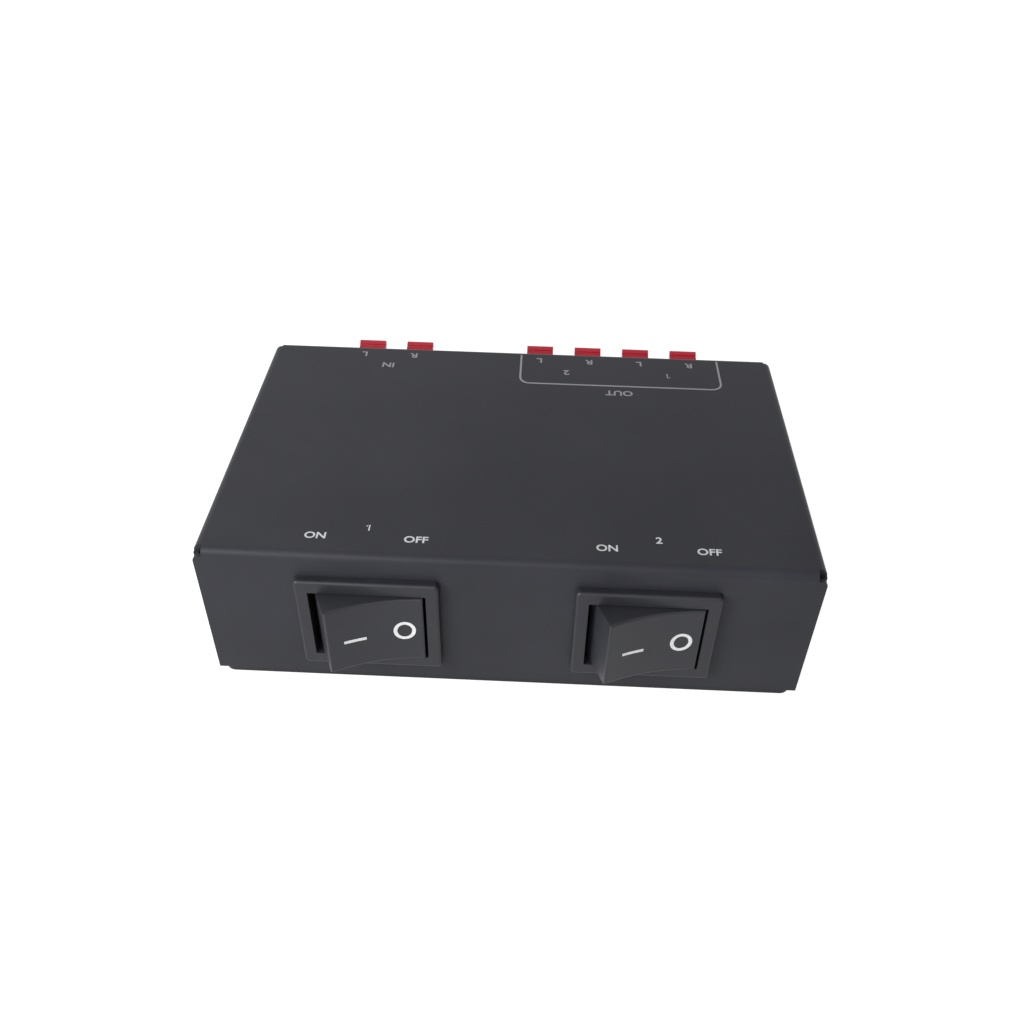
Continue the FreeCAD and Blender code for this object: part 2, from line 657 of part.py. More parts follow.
def make_lever(row, column):
    """Finger lever: a tab that sweeps up behind the panel, a hub with pins and a heel."""
    body = new_body(f"{row}_lever_{column}")
    sketch = new_sketch(body, "YZ_Plane")
    add_polygon(sketch, [
        ("0", "lever_hub"),
        ("lever_elbow", "lever_hub + 0.3 * lever_thick"),
        ("lever_reach", "lever_rise"),
        ("lever_reach + 0.2 * lever_thick", "lever_rise - lever_thick"),
        ("lever_elbow + 0.5 * lever_thick", "lever_hub - 0.7 * lever_thick"),
        ("lever_hub", "-0.6 * lever_hub"),
        ("0", "-lever_hub"),
        ("-0.85 * lever_heel", "-1.1 * lever_heel"),
        ("-lever_heel", "-lever_heel"),
        ("-lever_hub", "0"),
    ])
    pad(body, sketch, "lever_width", both=True)
    elbow, reach, rise, thick = (size(f"lever_{word}") for word in ("elbow", "reach", "rise", "thick"))
    round_edges(body, "lever_thick * 0.8", lambda spot, axis: axis == "x"
                and elbow - 0.1 < spot.y < elbow + thick)
    round_edges(body, "lever_thick * 0.35", lambda spot, axis: axis == "x" and spot.y > reach - 0.1)
    sketch = new_sketch(body, "YZ_Plane")
    for step in range(3):
        back = f"(lever_thick + {step} * groove_pitch)"
        run = "(lever_reach - lever_elbow)"
        add_circle(sketch, (f"lever_reach - {back}",
                            f"lever_rise - {back} * (lever_rise - lever_hub - 0.3 * lever_thick) / {run}"),
                   "groove_radius")
    pocket(body, sketch, "lever_width * 2", both=True)
    sketch = new_sketch(body, "YZ_Plane")
    add_circle(sketch, ("0", "0"), "trunnion_radius")
    pad(body, sketch, "lever_width + 2 * trunnion_length", both=True)
    sign = ROWS[row]
    return place(body, (COLUMNS[column], f"{BACK} - lever_pivot_depth", f"{MIDDLE} + {sign} * lever_offset"),
                 axis=(0, 1, 0), turn="0" if sign > 0 else "180")


def make_clamp(row, column):
    """Bent leaf that the lever's heel pushes back to free the wire."""
    body = new_body(f"clamp_{row}_{column}")
    face = "(lever_pivot_depth + lever_heel + clamp_gap)"
    back = "(shell_depth - shell_wall)"
    sketch = new_sketch(body, "YZ_Plane")
    add_polygon(sketch, [(f"-{face}", "clamp_low"), (f"-{face}", "tag_offset + tag_metal / 2"),
                         (f"-{back}", "tag_offset + tag_metal / 2"),
                         (f"-{back}", "tag_offset + tag_metal / 2 - clamp_metal"),
                         (f"-{face} - clamp_metal", "tag_offset + tag_metal / 2 - clamp_metal"),
                         (f"-{face} - clamp_metal", "clamp_low")])
    pad(body, sketch, "clamp_width", both=True)
    corner = -(size("lever_pivot_depth") + size("lever_heel") + size("clamp_gap"))
    high = size("tag_offset") + size("tag_metal") / 2
    round_edges(body, "clamp_metal * 2", lambda spot, axis: axis == "x" and near(spot.y, corner)
                and near(spot.z, high))
    round_edges(body, "clamp_metal", lambda spot, axis: axis == "x"
                and near(spot.y, corner - size("clamp_metal")) and near(spot.z, high - size("clamp_metal")))
    sign = ROWS[row]
    return place(body, (COLUMNS[column], BACK, MIDDLE), axis=(0, 1, 0), turn="0" if sign > 0 else "180")


def make_tags(name, columns):
    """Solder tags that pass through the back wall of each chamber."""
    tags = []
    for column in columns:
        for sign in ROWS.values():
            level = f"({MIDDLE} + {sign} * tag_offset)"
            tags.append(box_between("tag", (f"{COLUMNS[column]} - clamp_width / 2",
                                            f"{BACK} - shell_depth - tag_tail", f"{level} - tag_metal / 2"),
                                    (f"{COLUMNS[column]} + clamp_width / 2",
                                     f"{BACK} - shell_depth + shell_wall", f"{level} + tag_metal / 2")))
    return grouped(name, tags)


def ear_spots():
    return [f"{middle} {side} {ear_reach(count)}" for middle, count in BLOCKS.values() for side in "-+"]


def make_block_screws():
    screws = []
    for spot in ear_spots():
        head = rod("head", (spot, f"{BACK} + block_plate", MIDDLE), "y", "head_radius", "head_height")
        shank = rod("shank", (spot, f"{BACK} + block_plate - block_screw_length", MIDDLE), "y",
                    "thread_radius - thread_play", "block_screw_length")
        screws.append(joined("screw", [head, shank]))
    return grouped("block_screws", screws)


def make_block_nuts():
    """Hexagon nuts against the inside of the back flange."""
    nuts = []
    for spot in ear_spots():
        start = f"{BACK} - sheet_metal - nut_height"
        prism = doc.addObject("Part::Prism", "prism")
        prism.Polygon = 6
        bind(prism, "Circumradius", "nut_flat / sqrt(3)")
        bind(prism, "Height", "nut_height")
        place(prism, (spot, start, MIDDLE), (1, 0, 0), "-90")
        bore = rod("bore", (spot, start, MIDDLE), "y", "thread_radius", "nut_height")
        nuts.append(trimmed("nut", prism, bore))
    return grouped("block_nuts", nuts)


# Wires


def route_solid(points, radius):
    """A round tube along straight runs, joined by tangent arcs as wide as the runs allow."""
    points = [FreeCAD.Vector(*point) for point in points]
    edges = []
    start = points[0]
    for before, corner, after in zip(points, points[1:], points[2:]):
        back, ahead = (before - corner), (after - corner)
        reach = 0.45 * min(back.Length, ahead.Length)
        back.normalize()
        ahead.normalize()
        half_turn = (math.pi - back.getAngle(ahead)) / 2
        arc_radius = reach / math.tan(half_turn)
        bisector = back + ahead
        bisector.normalize()
        middle = corner + bisector * (arc_radius / math.cos(half_turn) - arc_radius)
        edges.append(Part.makeLine(start, corner + back * reach))
        edges.append(Part.Arc(corner + back * reach, middle, corner + ahead * reach).toShape())
        start = corner + ahead * reach
    edges.append(Part.makeLine(start, points[-1]))
    path = Part.Wire(edges)
    section = Part.Wire(Part.makeCircle(radius, points[0], points[1] - points[0]))
    return path.makePipeShell([section], True, False)


def make_wires():
    """Leads soldered between the input tags, the switch blades and the output tags."""
    middle = size("foot_height") + (size("plate_metal") + size("cover_height")) / 2
    half_switch, pitch = size("switch_spacing") / 2, size("clip_pitch")
    blade_end = -size("case_depth") / 2 + size("body_depth") + size("blade_tail")
    tag_end = size("case_depth") / 2 - size("shell_depth") - size("tag_tail")
    plus, minus = middle + size("tag_offset"), middle - size("tag_offset")
    pole, pair, lead = size("pole_offset"), size("wire_pair"), size("wire_lead")
    place_of = {}
    for name, (start, count) in BLOCKS.items():
        place_of[name] = [size(start) + (step - (count - 1) / 2) * pitch for step in range(count)]
    near_pair, far_pair = place_of["output_block"][:2], place_of["output_block"][2:]
    first_throw, second_throw = (side * half_switch + size("contact_reach") for side in (-1, 1))
    gutter = middle - size("cover_height") / 2 + 4.5 * size("wire_radius")
    loft = middle + size("cover_height") / 2 - 4.5 * size("wire_radius")
    groups = {}

    for side, channel in enumerate(("left", "right")):
        level = middle + pole * (1 - 2 * side)
        inner, outer = (level - pair, level + pair) if side == 0 else (level + pair, level - pair)
        bus = loft if side == 0 else gutter
        column = place_of["input_block"][side]
        wires = [[(column, tag_end, plus), (column, tag_end - lead, plus),
                  (-half_switch, blade_end + lead, inner), (-half_switch, blade_end, inner)],
                 [(-half_switch, blade_end, outer), (-half_switch, blade_end + lead / 2, outer),
                  (-half_switch, blade_end + lead, bus), (half_switch, blade_end + lead, bus),
                  (half_switch, blade_end + lead / 2, outer), (half_switch, blade_end, outer)],
                 [(first_throw, blade_end, level), (first_throw, blade_end + lead, level),
                  (far_pair[side], tag_end - lead, plus), (far_pair[side], tag_end, plus)],
                 [(second_throw, blade_end, level), (second_throw, blade_end + lead, level),
                  (near_pair[side], tag_end - lead, min(level, middle)),
                  (near_pair[side], tag_end - lead / 2, plus), (near_pair[side], tag_end, plus)]]
        groups[f"{channel}_plus_wires"] = wires

        run = tag_end - lead * (1 + 0.8 * side)
        low = minus + lead / 2 if side == 0 else gutter - size("wire_radius")
        spans = [(column, near_pair[side] - pair, run),
                 (near_pair[side] + pair, far_pair[side], run + lead / 3)]
        groups[f"{channel}_minus_wires"] = [
            [(start, tag_end, minus), (start, tag_end - lead / 2, minus), (start, row, low),
             (end, row, low), (end, tag_end - lead / 2, minus), (end, tag_end, minus)]
            for start, end, row in spans]

    made = []
    for name, routes in groups.items():
        node = doc.addObject("Part::Feature", name)
        node.Label = name
        node.Shape = Part.makeCompound([route_solid(route, size("wire_radius")) for route in routes])
        made.append(node)
    return made


nodes = [make_cover(), make_bottom_plate(), make_feet(), make_bottom_screws()]
for switch in SWITCHES:
    nodes += [make_housing(switch), make_rocker(switch), make_plungers(switch), make_plunger_springs(switch),
              make_contact_arms(switch), make_terminals(switch)]
nodes += [make_block(name) for name in BLOCKS]
nodes += [make_tags("input_tags", list(COLUMNS)[:2]), make_tags("output_tags", list(COLUMNS)[2:])]
nodes += [make_block_screws(), make_block_nuts()]
for column in COLUMNS:
    for row in ROWS:
        nodes += [make_lever(row, column), make_clamp(row, column)]
nodes += make_wires()
doc.recompute()

failed = [thing.Label for thing in doc.Objects if {"Invalid", "Error"} & set(thing.State)]
failed += [node.Label for node in nodes if node.Shape.isNull() or not node.Shape.isValid()]
if failed:
    raise RuntimeError("these did not build: " + ", ".join(failed))

os.makedirs("parts", exist_ok=True)
for node in nodes:
    node.Shape.exportStep(f"parts/{node.Label}.step")
    print(f"{node.Label:28s} {len(node.Shape.Solids)} solids, {node.Shape.Volume:9.1f} cubic mm")
print(len(nodes), "nodes")
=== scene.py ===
# %% [markdown]
# # A speaker selector switch, dressed for a studio photograph
# The engineering model already holds every piece at its real size: a folded steel box, two
# rocker switches and two blocks of spring clip terminals. This lesson gives those pieces
# their finish. First the imported model is loaded as a fixed frame, in metres.

# %% Load the frame
import json
import math

import bmesh
import bpy
from mathutils import Matrix, Vector


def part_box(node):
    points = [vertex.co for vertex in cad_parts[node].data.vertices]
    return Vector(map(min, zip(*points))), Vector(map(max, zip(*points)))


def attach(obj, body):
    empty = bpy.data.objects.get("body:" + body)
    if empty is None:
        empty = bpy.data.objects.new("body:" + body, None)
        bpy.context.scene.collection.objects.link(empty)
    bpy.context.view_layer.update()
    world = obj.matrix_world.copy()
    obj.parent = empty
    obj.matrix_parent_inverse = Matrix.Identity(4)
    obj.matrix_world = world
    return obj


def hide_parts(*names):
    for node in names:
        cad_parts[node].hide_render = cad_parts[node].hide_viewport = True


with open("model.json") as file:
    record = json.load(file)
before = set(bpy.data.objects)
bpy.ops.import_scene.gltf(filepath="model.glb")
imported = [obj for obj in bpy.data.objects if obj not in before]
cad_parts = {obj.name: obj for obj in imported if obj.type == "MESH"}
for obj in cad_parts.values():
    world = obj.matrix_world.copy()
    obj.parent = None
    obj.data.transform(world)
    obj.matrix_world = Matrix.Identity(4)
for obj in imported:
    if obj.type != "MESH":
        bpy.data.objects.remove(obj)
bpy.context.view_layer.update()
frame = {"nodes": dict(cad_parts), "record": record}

MM = 0.001
BODY_OF = {node: body for body, nodes in frame["record"]["behaviour"]["bodies"].items() for node in nodes}
SLOT_OF = {part["node"]: part["material_slot"] for part in frame["record"]["subparts"]}
scene = bpy.context.scene
print("frame", len(frame["nodes"]), "nodes")

# %% [markdown]
# ## The camera
# The photograph was taken from above the front of the box. Its camera was found from the
# box's corners: where it stands, how it is turned, and how long its lens is. A camera looks
# along its own -Z, so the three columns of its matrix are right, up and backwards.

# %% Camera
CAMERA_PLACE = Vector((4.8, -191.5, 183.0)) * MM
CAMERA_YAW, CAMERA_DOWN, CAMERA_ROLL = math.radians(-1.61), math.radians(40.71), math.radians(1.23)
SENSOR_WIDTH = 36.0
FOCAL_PIXELS, PICTURE_PIXELS = 1000.0, 1024

ahead = Vector((math.sin(CAMERA_YAW) * math.cos(CAMERA_DOWN),
                math.cos(CAMERA_YAW) * math.cos(CAMERA_DOWN), -math.sin(CAMERA_DOWN)))
level = Vector((math.cos(CAMERA_YAW), -math.sin(CAMERA_YAW), 0))
upright = level.cross(ahead)
right = math.cos(CAMERA_ROLL) * level + math.sin(CAMERA_ROLL) * upright
up = -math.sin(CAMERA_ROLL) * level + math.cos(CAMERA_ROLL) * upright

lens = bpy.data.cameras.new("studio_camera")
lens.sensor_width = SENSOR_WIDTH
lens.lens = FOCAL_PIXELS / PICTURE_PIXELS * SENSOR_WIDTH
lens.clip_start = 0.01
camera = bpy.data.objects.new("studio_camera", lens)
camera.matrix_world = Matrix.Translation(CAMERA_PLACE) @ Matrix((right, up, -ahead)).transposed().to_4x4()
scene.collection.objects.link(camera)
scene.camera = camera
print("lens", round(lens.lens, 2), "mm")

# %% [markdown]
# ## Node helpers
# Every finish here is a small network of nodes. Writing `link(a, b)` for each wire soon
# hides what the network does, so one helper makes a node, sets its values and wires its
# inputs in a single call. An input given as a socket is wired; anything else is a value.

# %% Node helpers
def add_node(tree, kind, inputs=(), **settings):
    made = tree.nodes.new(kind)
    for name, value in settings.items():
        setattr(made, name, value)
    for name, value in dict(inputs).items():
        if isinstance(value, bpy.types.NodeSocket):
            tree.links.new(value, made.inputs[name])
        else:
            made.inputs[name].default_value = value
    return made


def new_material(name):
    """A material with an empty tree, its shader and its output."""
    made = bpy.data.materials.new(name)
    made.use_nodes = True
    tree = made.node_tree
    tree.nodes.clear()
    shader = tree.nodes.new("ShaderNodeBsdfPrincipled")
    output = tree.nodes.new("ShaderNodeOutputMaterial")
    tree.links.new(shader.outputs["BSDF"], output.inputs["Surface"])
    place = tree.nodes.new("ShaderNodeTexCoord").outputs["Object"]
    return made, tree, shader, place


def grain(tree, place, size, detail=3.0, roughness=0.55):
    """Noise whose lumps are about `size` metres across."""
    return add_node(tree, "ShaderNodeTexNoise", {"Vector": place, "Scale": 1 / size, "Detail": detail,
                                                 "Roughness": roughness}).outputs["Fac"]


def blend_colour(tree, mask, low, high):
    made = add_node(tree, "ShaderNodeMix", {"Factor": mask}, data_type="RGBA")
    made.inputs[6].default_value = (*low, 1)
    made.inputs[7].default_value = (*high, 1)
    return made.outputs[2]


def spread(tree, value, low, high, start=0.3, end=0.7):
    return add_node(tree, "ShaderNodeMapRange", {"Value": value, "From Min": start, "From Max": end,
                                                 "To Min": low, "To Max": high}).outputs["Result"]


def bumps(tree, height, distance):
    inputs = {"Height": height, "Distance": distance, "Strength": 1.0}
    return add_node(tree, "ShaderNodeBump", inputs).outputs["Normal"]


def shaded(colour, factor):
    return tuple(min(1.0, channel * factor) for channel in colour)


def seen_rays(tree):
    """One for a ray from the camera, a gloss or a clear surface, and zero for all other light."""
    path = add_node(tree, "ShaderNodeLightPath").outputs
    seen = add_node(tree, "ShaderNodeMath", {0: path["Is Camera Ray"], 1: path["Is Glossy Ray"]},
                    operation="MAXIMUM").outputs[0]
    return add_node(tree, "ShaderNodeMath", {0: seen, 1: path["Is Transmission Ray"]},
                    operation="MAXIMUM").outputs[0]


# %% [markdown]
# ## The painted steel
# The box is powder coated: a dense black skin with a very fine orange peel. Under soft light
# the peel is what spreads each highlight into a band, so it is a bump, with the lumps at
# their real size of about a third of a millimetre. Larger, fainter lumps vary the colour
# and the roughness, because no coat dries evenly, and a sprinkle of dust settles on it.

# %% Powder coat
def powder_coat(name, colour, roughness, peel=0.00035):
    made, tree, shader, place = new_material(name)
    broad = grain(tree, place, 0.03, 4.0)
    fine = grain(tree, place, peel, 2.0)
    dust = grain(tree, place, 0.0011, 5.0, 0.7)
    tone = blend_colour(tree, spread(tree, broad, 0, 1), shaded(colour, 0.85), shaded(colour, 1.15))
    specks = add_node(tree, "ShaderNodeMix", {"Factor": spread(tree, dust, 0, 0.25, 0.66, 0.8), 6: tone},
                      data_type="RGBA")
    specks.inputs[7].default_value = (*shaded(colour, 2.6), 1)
    tree.links.new(specks.outputs[2], shader.inputs["Base Color"])
    tree.links.new(spread(tree, broad, roughness - 0.015, roughness + 0.02), shader.inputs["Roughness"])
    tree.links.new(bumps(tree, fine, 0.000012), shader.inputs["Normal"])
    shader.inputs["Specular IOR Level"].default_value = 0.17
    return made


# %% [markdown]
# ## Moulded plastic
# Moulded parts copy the surface of their mould. The bezels and blocks come from a mould
# with a spark eroded texture, the rockers and levers from a polished one. One function
# makes both: the texture, the gloss and a thin clear coat are what change.

# %% Moulded plastic
def moulded(name, colour, roughness, texture=0.0002, depth=0.000006, gloss=0.45, coat=0.0):
    made, tree, shader, place = new_material(name)
    broad = grain(tree, place, 0.012, 3.0)
    fine = grain(tree, place, texture, 2.0)
    tree.links.new(blend_colour(tree, spread(tree, broad, 0, 1), shaded(colour, 0.9), shaded(colour, 1.1)),
                   shader.inputs["Base Color"])
    tree.links.new(spread(tree, broad, roughness - 0.04, roughness + 0.05), shader.inputs["Roughness"])
    tree.links.new(bumps(tree, fine, depth), shader.inputs["Normal"])
    shader.inputs["Specular IOR Level"].default_value = gloss
    shader.inputs["Coat Weight"].default_value = coat
    shader.inputs["Coat Roughness"].default_value = 0.15
    return made


# %% [markdown]
# ## Metal and rubber
# Rolled strip and turned screws show fine lines along the way they were worked. A noise
# stretched along one axis gives those lines; screws and nuts are plated all over, so theirs
# is not stretched. Rubber is the opposite: matt, with a dusty bloom.

# %% Metal and rubber
def worked_metal(name, colour, roughness, stretch=(1, 1, 12), lines=0.0003):
    made, tree, shader, place = new_material(name)
    turned = add_node(tree, "ShaderNodeMapping", {"Vector": place, "Scale": stretch}).outputs["Vector"]
    fine = grain(tree, turned, lines, 3.0)
    broad = grain(tree, place, 0.006, 3.0)
    tree.links.new(blend_colour(tree, spread(tree, broad, 0, 1), shaded(colour, 0.82), colour),
                   shader.inputs["Base Color"])
    tree.links.new(spread(tree, fine, roughness - 0.08, roughness + 0.1), shader.inputs["Roughness"])
    tree.links.new(bumps(tree, fine, 0.000008), shader.inputs["Normal"])
    shader.inputs["Metallic"].default_value = 1.0
    return made


def foot_rubber(name, colour):
    made, tree, shader, place = new_material(name)
    bloom = grain(tree, place, 0.002, 5.0, 0.65)
    tree.links.new(blend_colour(tree, spread(tree, bloom, 0, 1), colour, shaded(colour, 1.9)),
                   shader.inputs["Base Color"])
    tree.links.new(bumps(tree, grain(tree, place, 0.0005, 3.0), 0.00003), shader.inputs["Normal"])
    shader.inputs["Roughness"].default_value = 0.82
    return made


# %% [markdown]
# ## One finish for each slot of the record
# The model's record gives every node a material slot. A table from slot to finish keeps the
# choice in one place, and each node then takes its finish by name.

# %% Finishes
FINISHES = {
    "cover_paint": powder_coat("cover_paint", (0.0190, 0.0195, 0.0245), 0.46),
    "plate_paint": powder_coat("plate_paint", (0.016, 0.016, 0.018), 0.5),
    "foot_rubber": foot_rubber("foot_rubber", (0.012, 0.012, 0.012)),
    "black_screw": worked_metal("black_screw", (0.10, 0.10, 0.105), 0.38, (1, 1, 1)),
    "bezel_plastic": moulded("bezel_plastic", (0.0150, 0.0155, 0.0195), 0.46, gloss=0.3),
    "rocker_plastic": moulded("rocker_plastic", (0.0175, 0.0180, 0.0225), 0.38, 0.0004, 0.000003, 0.27),
    "block_plastic": moulded("block_plastic", (0.018, 0.018, 0.019), 0.4),
    "red_lever_plastic": moulded("red_lever_plastic", (0.36, 0.008, 0.022), 0.32,
                                 0.0005, 0.000003, 0.3, 0.08),
    "black_lever_plastic": moulded("black_lever_plastic", (0.016, 0.016, 0.017), 0.3,
                                   0.0005, 0.000003, 0.5, 0.25),
    "tinned_brass": worked_metal("tinned_brass", (0.78, 0.76, 0.70), 0.3, (12, 1, 1)),
    "contact_copper": worked_metal("contact_copper", (0.80, 0.44, 0.26), 0.28, (1, 12, 12)),
    "spring_steel": worked_metal("spring_steel", (0.62, 0.63, 0.65), 0.25),
    "zinc_steel": worked_metal("zinc_steel", (0.66, 0.67, 0.66), 0.34, (1, 1, 1)),
    "red_insulation": moulded("red_insulation", (0.50, 0.015, 0.012), 0.36, 0.0008, 0.00001, 0.5),
    "white_insulation": moulded("white_insulation", (0.72, 0.71, 0.67), 0.36, 0.0008, 0.00001, 0.5),
    "black_insulation": moulded("black_insulation", (0.015, 0.015, 0.015), 0.36, 0.0008, 0.00001, 0.5),
    "grey_insulation": moulded("grey_insulation", (0.22, 0.22, 0.23), 0.36, 0.0008, 0.00001, 0.5),
}
for node, piece in frame["nodes"].items():
    piece.data.materials.clear()
    piece.data.materials.append(FINISHES[SLOT_OF[node]])
print("finishes", len(FINISHES))

# %% [markdown]
# ## The inks
# The marks are white ink, and ink is never even: where it went on thin, the dark surface
# under it dulls it. The words at the front, the words at the back and the rocker marks each
# have their own strength.

# %% Inks
def white_ink(name, colour):
    """Printed ink, slightly thin so that the surface below dulls it in places."""
    made, tree, shader, place = new_material(name)
    thin = grain(tree, place, 0.0006, 4.0, 0.6)
    tree.links.new(blend_colour(tree, spread(tree, thin, 0, 1), shaded(colour, 0.78), colour),
                   shader.inputs["Base Color"])
    shader.inputs["Roughness"].default_value = 0.5
    return made


INK = white_ink("print_ink", (0.50, 0.51, 0.52))
REAR_INK = white_ink("rear_ink", (0.24, 0.24, 0.25))
MARK_INK = white_ink("mark_ink", (0.62, 0.62, 0.63))
print("inks", INK.name, REAR_INK.name, MARK_INK.name)

# %% [markdown]
# ## Softened edges
# No real edge is razor sharp: paint flows round it and moulds wear. The engineering model's
# meshes are loose triangles with sharp edges, so each visible piece gets a dressed copy. The
# copy's triangles are merged, flat areas are dissolved back into single faces, and a Bevel
# modifier rounds what is left. A Weighted Normal modifier keeps the large flat faces flat in
# the light. The rockers' edges are round already, so they are only merged. Each copy then
# takes the original node's place on its body, and the original is hidden.

# %% Softened edges
def dressed(node, edge, sharp=28.0, segments=2):
    """A copy of a node with rounded edges; `edge` is the width of the rounding in millimetres."""
    mesh = frame["nodes"][node].data.copy()
    shape = bmesh.new()
    shape.from_mesh(mesh)
    bmesh.ops.remove_doubles(shape, verts=shape.verts, dist=1e-6)
    bmesh.ops.dissolve_limit(shape, angle_limit=math.radians(0.6), verts=shape.verts, edges=shape.edges)
    shape.to_mesh(mesh)
    shape.free()
    if "custom_normal" in mesh.attributes:
        mesh.attributes.remove(mesh.attributes["custom_normal"])
    mesh.shade_smooth()
    mesh.set_sharp_from_angle(angle=math.radians(sharp))
    piece = bpy.data.objects.new(node + "_dressed", mesh)
    scene.collection.objects.link(piece)
    if edge:
        rounding = piece.modifiers.new("rounding", "BEVEL")
        rounding.width = edge * MM
        rounding.segments = segments
        rounding.limit_method = "ANGLE"
        rounding.angle_limit = math.radians(sharp)
        rounding.use_clamp_overlap = True
    flats = piece.modifiers.new("flats", "WEIGHTED_NORMAL")
    flats.keep_sharp = True
    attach(piece, BODY_OF[node])
    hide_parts(node)


EDGES = {"top_cover": 0.18, "bottom_plate": 0.15, "input_block": 0.12, "output_block": 0.12}
EDGES.update({node: 0 for node in frame["nodes"] if node.startswith("rocker_")})
EDGES.update({node: 0.14 for node in frame["nodes"] if node.startswith("switch_housing_")})
EDGES.update({node: 0.14 for node in frame["nodes"] if "_lever_" in node})
for node, edge in EDGES.items():
    dressed(node, edge)
print("dressed", len(EDGES), "pieces")

# %% [markdown]
# ## Screws from a node tree
# The block screws and the bottom screws are the same pan head screw, eight times. A
# Geometry Nodes tree makes one screw from its sizes, cuts the cross recess with a boolean
# and stands a copy on every vertex that it is given. The copies are made real at the end of
# the tree, because an export keeps meshes and drops instances.

# %% Screw tree
HEAD_HEIGHT = 1.6 * MM
RIM_SHARE = 0.55
CROWN_SHARE = 0.72
SHANK_MIDDLE = -0.49


def number_input(tree, name, value):
    made = tree.interface.new_socket(name, in_out="INPUT", socket_type="NodeSocketFloat")
    made.default_value = value


def make_screw_tree():
    tree = bpy.data.node_groups.new("pan_head_screws", "GeometryNodeTree")
    tree.interface.new_socket("Spots", in_out="INPUT", socket_type="NodeSocketGeometry")
    number_input(tree, "Head Radius", 2.75 * MM)
    number_input(tree, "Head Height", HEAD_HEIGHT)
    number_input(tree, "Shank Radius", 1.45 * MM)
    number_input(tree, "Shank Length", 6.0 * MM)
    number_input(tree, "Recess Reach", 3.0 * MM)
    number_input(tree, "Recess Width", 0.62 * MM)
    number_input(tree, "Recess Depth", 1.0 * MM)
    tree.interface.new_socket("Turn", in_out="INPUT", socket_type="NodeSocketVector")
    tree.interface.new_socket("Finish", in_out="INPUT", socket_type="NodeSocketMaterial")
    tree.interface.new_socket("Screws", in_out="OUTPUT", socket_type="NodeSocketGeometry")
    given = tree.nodes.new("NodeGroupInput").outputs

    def calculate(operation, first, second):
        made = add_node(tree, "ShaderNodeMath", {0: first, 1: second}, operation=operation)
        return made.outputs[0]

    def at_height(geometry, height):
        spot = add_node(tree, "ShaderNodeCombineXYZ", {"Z": height}).outputs[0]
        inputs = {"Geometry": geometry, "Translation": spot}
        return add_node(tree, "GeometryNodeTransform", inputs).outputs[0]

    rim_height = calculate("MULTIPLY", given["Head Height"], RIM_SHARE)
    crown_height = calculate("SUBTRACT", given["Head Height"], rim_height)
    rim = add_node(tree, "GeometryNodeMeshCylinder", {"Vertices": 40, "Radius": given["Head Radius"],
                                                      "Depth": rim_height}).outputs["Mesh"]
    crown_top = calculate("MULTIPLY", given["Head Radius"], CROWN_SHARE)
    crown = add_node(tree, "GeometryNodeMeshCone", {"Vertices": 40, "Radius Top": crown_top,
                                                    "Radius Bottom": given["Head Radius"],
                                                    "Depth": crown_height}).outputs["Mesh"]
    shank = add_node(tree, "GeometryNodeMeshCylinder", {"Vertices": 24, "Radius": given["Shank Radius"],
                                                        "Depth": given["Shank Length"]}).outputs["Mesh"]
    solids = add_node(tree, "GeometryNodeMeshBoolean", operation="UNION", solver="EXACT")
    tree.links.new(at_height(rim, calculate("MULTIPLY", rim_height, 0.5)), solids.inputs["Mesh 2"])
    tree.links.new(at_height(crown, rim_height), solids.inputs["Mesh 2"])
    shank_middle = calculate("MULTIPLY", given["Shank Length"], SHANK_MIDDLE)
    tree.links.new(at_height(shank, shank_middle), solids.inputs["Mesh 2"])

    cross = add_node(tree, "GeometryNodeMeshBoolean", operation="UNION", solver="EXACT")
    depth = calculate("MULTIPLY", given["Recess Depth"], 2.0)
    for wide, narrow in (("Recess Reach", "Recess Width"), ("Recess Width", "Recess Reach")):
        sides = add_node(tree, "ShaderNodeCombineXYZ", {"X": given[wide], "Y": given[narrow], "Z": depth})
        slot = add_node(tree, "GeometryNodeMeshCube", {"Size": sides.outputs[0]}).outputs["Mesh"]
        tree.links.new(at_height(slot, given["Head Height"]), cross.inputs["Mesh 2"])
    cut = add_node(tree, "GeometryNodeMeshBoolean", {"Mesh 1": solids.outputs["Mesh"],
                                                     "Mesh 2": cross.outputs["Mesh"]},
                   operation="DIFFERENCE", solver="EXACT")
    points = add_node(tree, "GeometryNodeMeshToPoints", {"Mesh": given["Spots"]}).outputs["Points"]
    turned = add_node(tree, "FunctionNodeEulerToRotation", {"Euler": given["Turn"]}).outputs["Rotation"]
    copies = add_node(tree, "GeometryNodeInstanceOnPoints", {"Points": points,
                                                             "Instance": cut.outputs["Mesh"],
                                                             "Rotation": turned}).outputs["Instances"]
    real = add_node(tree, "GeometryNodeRealizeInstances", {"Geometry": copies}).outputs["Geometry"]
    done = add_node(tree, "GeometryNodeSetMaterial", {"Geometry": real, "Material": given["Finish"]})
    output = tree.nodes.new("NodeGroupOutput")
    tree.links.new(done.outputs["Geometry"], output.inputs["Screws"])
    return tree


SCREW_TREE = make_screw_tree()
print("screw tree", len(SCREW_TREE.nodes), "nodes")

# %% [markdown]
# ## Placing the screws
# The screws' places come from the frame: each separate screw in the node is one loose part of
# its mesh. Its middle gives the axis, and the side that the head is on gives the seat.

